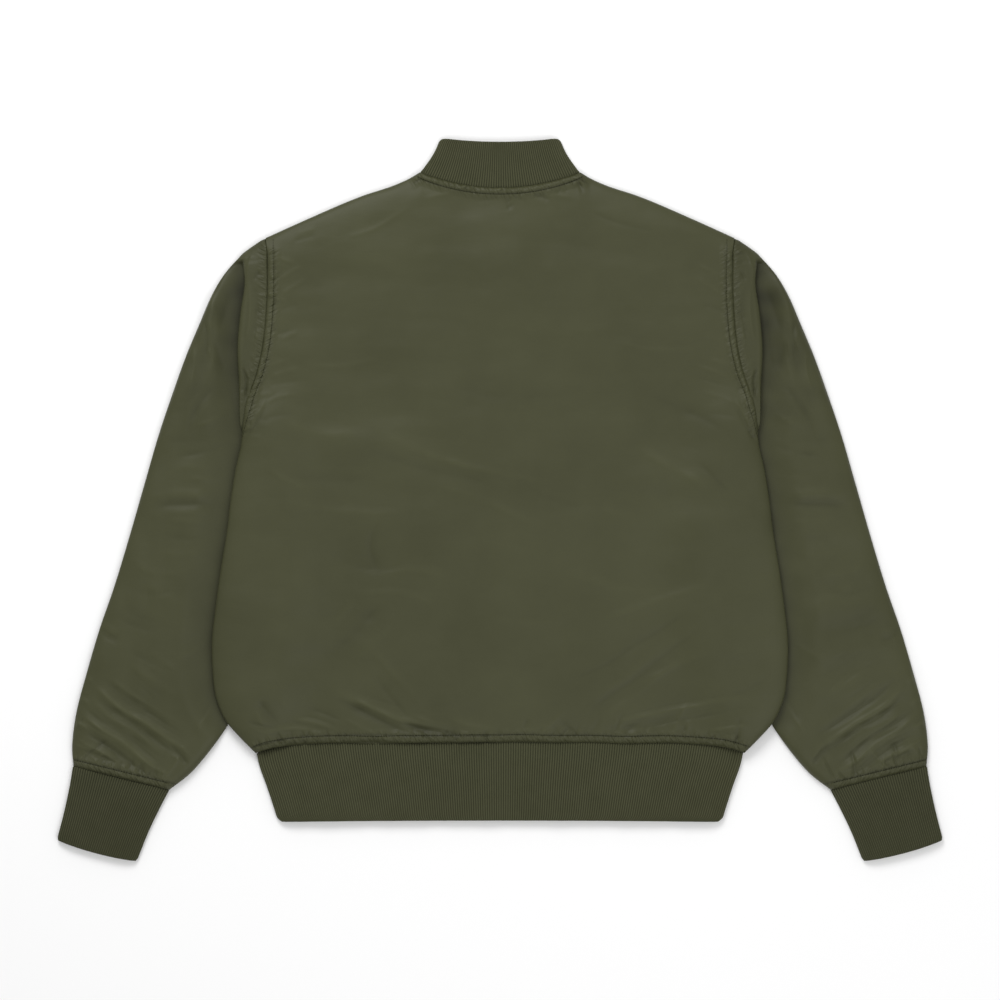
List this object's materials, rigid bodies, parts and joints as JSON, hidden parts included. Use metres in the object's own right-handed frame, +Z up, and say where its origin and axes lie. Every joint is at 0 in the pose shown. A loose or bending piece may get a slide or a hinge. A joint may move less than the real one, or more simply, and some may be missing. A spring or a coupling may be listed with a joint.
{
  "type": "bomber jacket",
  "caption": "Bomber jacket laid flat on its front, with a plain nylon back and sleeves, ribbed collar, cuffs and waistband, and a front zip with a hinged pull tab.",
  "frame": {"origin": "on the surface that the jacket lies on, under the middle of its box", "axes": "+X towards the wearer's right sleeve, +Y from hem to collar, +Z up from the surface, through the front and then the back"},
  "size_m": [0.93, 0.7588, 0.0125],
  "materials": {
    "shell": "olive green nylon twill with a soft satin sheen",
    "rib": "matte olive green rib knit",
    "zip_tape": "matte woven tape",
    "zip_metal": "dark gunmetal"
  },
  "bodies": {
    "jacket": {"back": "shell", "front_left": "shell", "front_right": "shell", "sleeve_left": "shell", "sleeve_right": "shell", "cuff_left": "rib", "cuff_right": "rib", "hem_rib": "rib", "collar_rib": "rib", "zip_tape_left": "zip_tape", "zip_tape_right": "zip_tape", "zip_chain": "zip_metal", "zip_slider": "zip_metal"},
    "pull": {"zip_pull": "zip_metal"}
  },
  "joints": [
    {"name": "pull_hinge", "type": "hinge", "parent": "jacket", "child": "pull", "pos_m": [0, 0.247, 0.0016], "axis": [1, 0, 0], "range_deg": [0, 180]}
  ]
}
